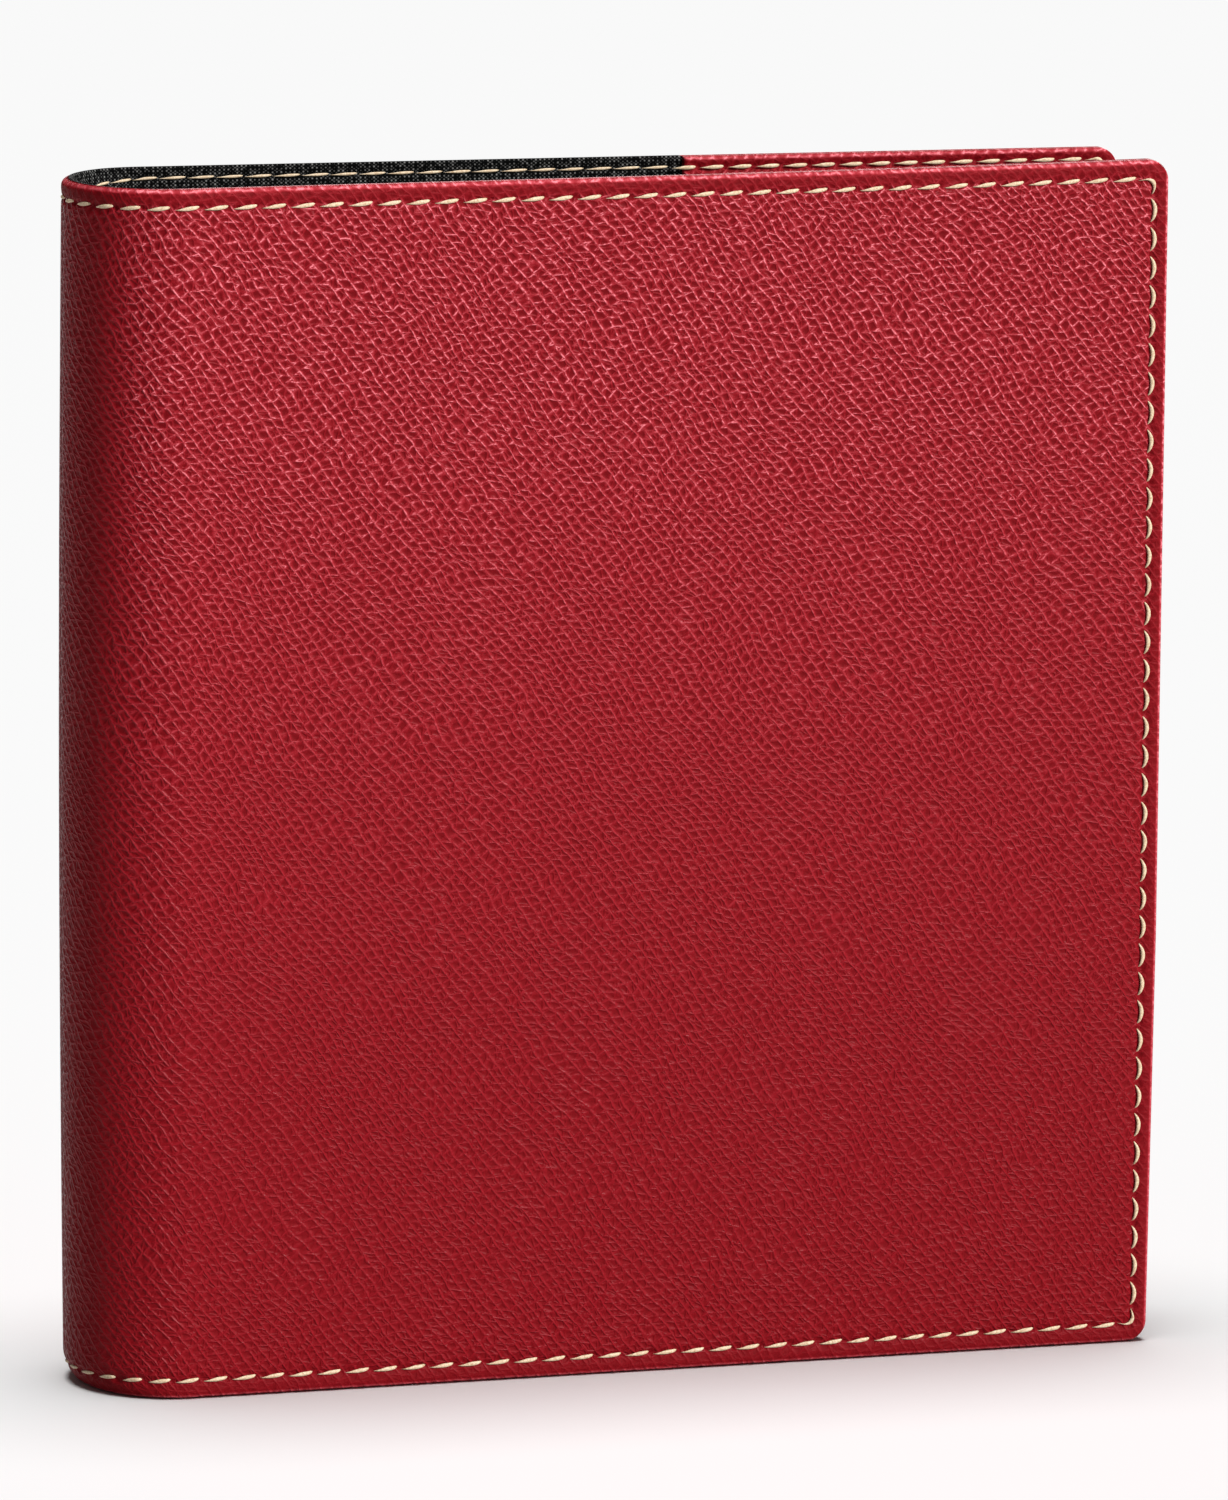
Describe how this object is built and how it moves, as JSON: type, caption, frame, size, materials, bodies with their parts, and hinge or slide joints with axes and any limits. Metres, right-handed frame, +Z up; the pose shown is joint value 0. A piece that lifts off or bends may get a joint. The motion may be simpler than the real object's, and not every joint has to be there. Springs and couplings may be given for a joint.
{
  "type": "stamp album",
  "caption": "Stitched leatherette album jacket with round spine and pocket flaps, holding a slip-in stock book of card leaves with clear strips.",
  "frame": {"origin": "centre of the footprint of the closed album standing upright, on the surface it stands on", "axes": "+X from the round spine to the fore-edge, +Y from the front cover to the back cover, +Z up"},
  "size_m": [0.193, 0.036, 0.21],
  "materials": {
    "red_leatherette": "pebble grain, satin",
    "black_cloth": "ribbed weave",
    "cream_thread": "twisted thread",
    "grey_board": "matte",
    "black_card": "matte",
    "clear_film": "clear gloss",
    "glassine": "translucent satin"
  },
  "bodies": {
    "spine": {"spine_leather": "red_leatherette", "spine_lining": "black_cloth", "spine_seam_thread": "cream_thread", "book_spine_strip": "black_card", "leaf_guards": "black_cloth", "book_sewing_thread": "cream_thread", "front_book_joint_cloth": "black_cloth", "back_book_joint_cloth": "black_cloth"},
    "front_cover": {"front_cover_leather": "red_leatherette", "front_cover_stiffener": "grey_board", "front_cover_lining": "black_cloth", "front_pocket_flap": "red_leatherette", "front_seam_thread": "cream_thread", "front_book_board": "black_card"},
    "back_cover": {"back_cover_leather": "red_leatherette", "back_cover_stiffener": "grey_board", "back_cover_lining": "black_cloth", "back_pocket_flap": "red_leatherette", "back_seam_thread": "cream_thread", "back_book_board": "black_card"},
    "leaf_01": {"leaf_01_page": "black_card", "leaf_01_film_strips": "clear_film", "leaf_01_interleaf": "glassine"},
    "leaf_02": {"leaf_02_page": "black_card", "leaf_02_film_strips": "clear_film", "leaf_02_interleaf": "glassine"},
    "leaf_03": {"leaf_03_page": "black_card", "leaf_03_film_strips": "clear_film", "leaf_03_interleaf": "glassine"},
    "leaf_04": {"leaf_04_page": "black_card", "leaf_04_film_strips": "clear_film", "leaf_04_interleaf": "glassine"},
    "leaf_05": {"leaf_05_page": "black_card", "leaf_05_film_strips": "clear_film", "leaf_05_interleaf": "glassine"},
    "leaf_06": {"leaf_06_page": "black_card", "leaf_06_film_strips": "clear_film", "leaf_06_interleaf": "glassine"},
    "leaf_07": {"leaf_07_page": "black_card", "leaf_07_film_strips": "clear_film", "leaf_07_interleaf": "glassine"},
    "leaf_08": {"leaf_08_page": "black_card", "leaf_08_film_strips": "clear_film", "leaf_08_interleaf": "glassine"},
    "leaf_09": {"leaf_09_page": "black_card", "leaf_09_film_strips": "clear_film", "leaf_09_interleaf": "glassine"},
    "leaf_10": {"leaf_10_page": "black_card", "leaf_10_film_strips": "clear_film", "leaf_10_interleaf": "glassine"}
  },
  "joints": [
    {"name": "front_hinge", "type": "hinge", "parent": "spine", "child": "front_cover", "pos_m": [-0.0785, -0.018, 0.105], "axis": [0, 0, -1], "range_deg": [0, 110]},
    {"name": "back_hinge", "type": "hinge", "parent": "spine", "child": "back_cover", "pos_m": [-0.0785, 0.018, 0.105], "axis": [0, 0, 1], "range_deg": [0, 110]},
    {"name": "leaf_01_turn", "type": "hinge", "parent": "spine", "child": "leaf_01", "pos_m": [-0.0705, -0.01125, 0.105], "axis": [0, 0, -1], "range_deg": [0, 85.9]},
    {"name": "leaf_02_turn", "type": "hinge", "parent": "spine", "child": "leaf_02", "pos_m": [-0.0705, -0.00875, 0.105], "axis": [0, 0, -1], "range_deg": [0, 66.1]},
    {"name": "leaf_03_turn", "type": "hinge", "parent": "spine", "child": "leaf_03", "pos_m": [-0.0705, -0.00625, 0.105], "axis": [0, 0, -1], "range_deg": [0, 46.3]},
    {"name": "leaf_04_turn", "type": "hinge", "parent": "spine", "child": "leaf_04", "pos_m": [-0.0705, -0.00375, 0.105], "axis": [0, 0, -1], "range_deg": [0, 26.5]},
    {"name": "leaf_05_turn", "type": "hinge", "parent": "spine", "child": "leaf_05", "pos_m": [-0.0705, -0.00125, 0.105], "axis": [0, 0, -1], "range_deg": [0, 8.9]},
    {"name": "leaf_06_turn", "type": "hinge", "parent": "spine", "child": "leaf_06", "pos_m": [-0.0705, 0.00125, 0.105], "axis": [0, 0, 1], "range_deg": [0, 8.9]},
    {"name": "leaf_07_turn", "type": "hinge", "parent": "spine", "child": "leaf_07", "pos_m": [-0.0705, 0.00375, 0.105], "axis": [0, 0, 1], "range_deg": [0, 26.5]},
    {"name": "leaf_08_turn", "type": "hinge", "parent": "spine", "child": "leaf_08", "pos_m": [-0.0705, 0.00625, 0.105], "axis": [0, 0, 1], "range_deg": [0, 46.3]},
    {"name": "leaf_09_turn", "type": "hinge", "parent": "spine", "child": "leaf_09", "pos_m": [-0.0705, 0.00875, 0.105], "axis": [0, 0, 1], "range_deg": [0, 66.1]},
    {"name": "leaf_10_turn", "type": "hinge", "parent": "spine", "child": "leaf_10", "pos_m": [-0.0705, 0.01125, 0.105], "axis": [0, 0, 1], "range_deg": [0, 85.9]}
  ],
  "couplings": [
    {"joint": "leaf_01_turn", "follows": "front_hinge", "ratio": 0.78},
    {"joint": "leaf_02_turn", "follows": "front_hinge", "ratio": 0.6},
    {"joint": "leaf_03_turn", "follows": "front_hinge", "ratio": 0.42},
    {"joint": "leaf_04_turn", "follows": "front_hinge", "ratio": 0.24},
    {"joint": "leaf_05_turn", "follows": "front_hinge", "ratio": 0.08},
    {"joint": "leaf_06_turn", "follows": "back_hinge", "ratio": 0.08},
    {"joint": "leaf_07_turn", "follows": "back_hinge", "ratio": 0.24},
    {"joint": "leaf_08_turn", "follows": "back_hinge", "ratio": 0.42},
    {"joint": "leaf_09_turn", "follows": "back_hinge", "ratio": 0.6},
    {"joint": "leaf_10_turn", "follows": "back_hinge", "ratio": 0.78}
  ]
}
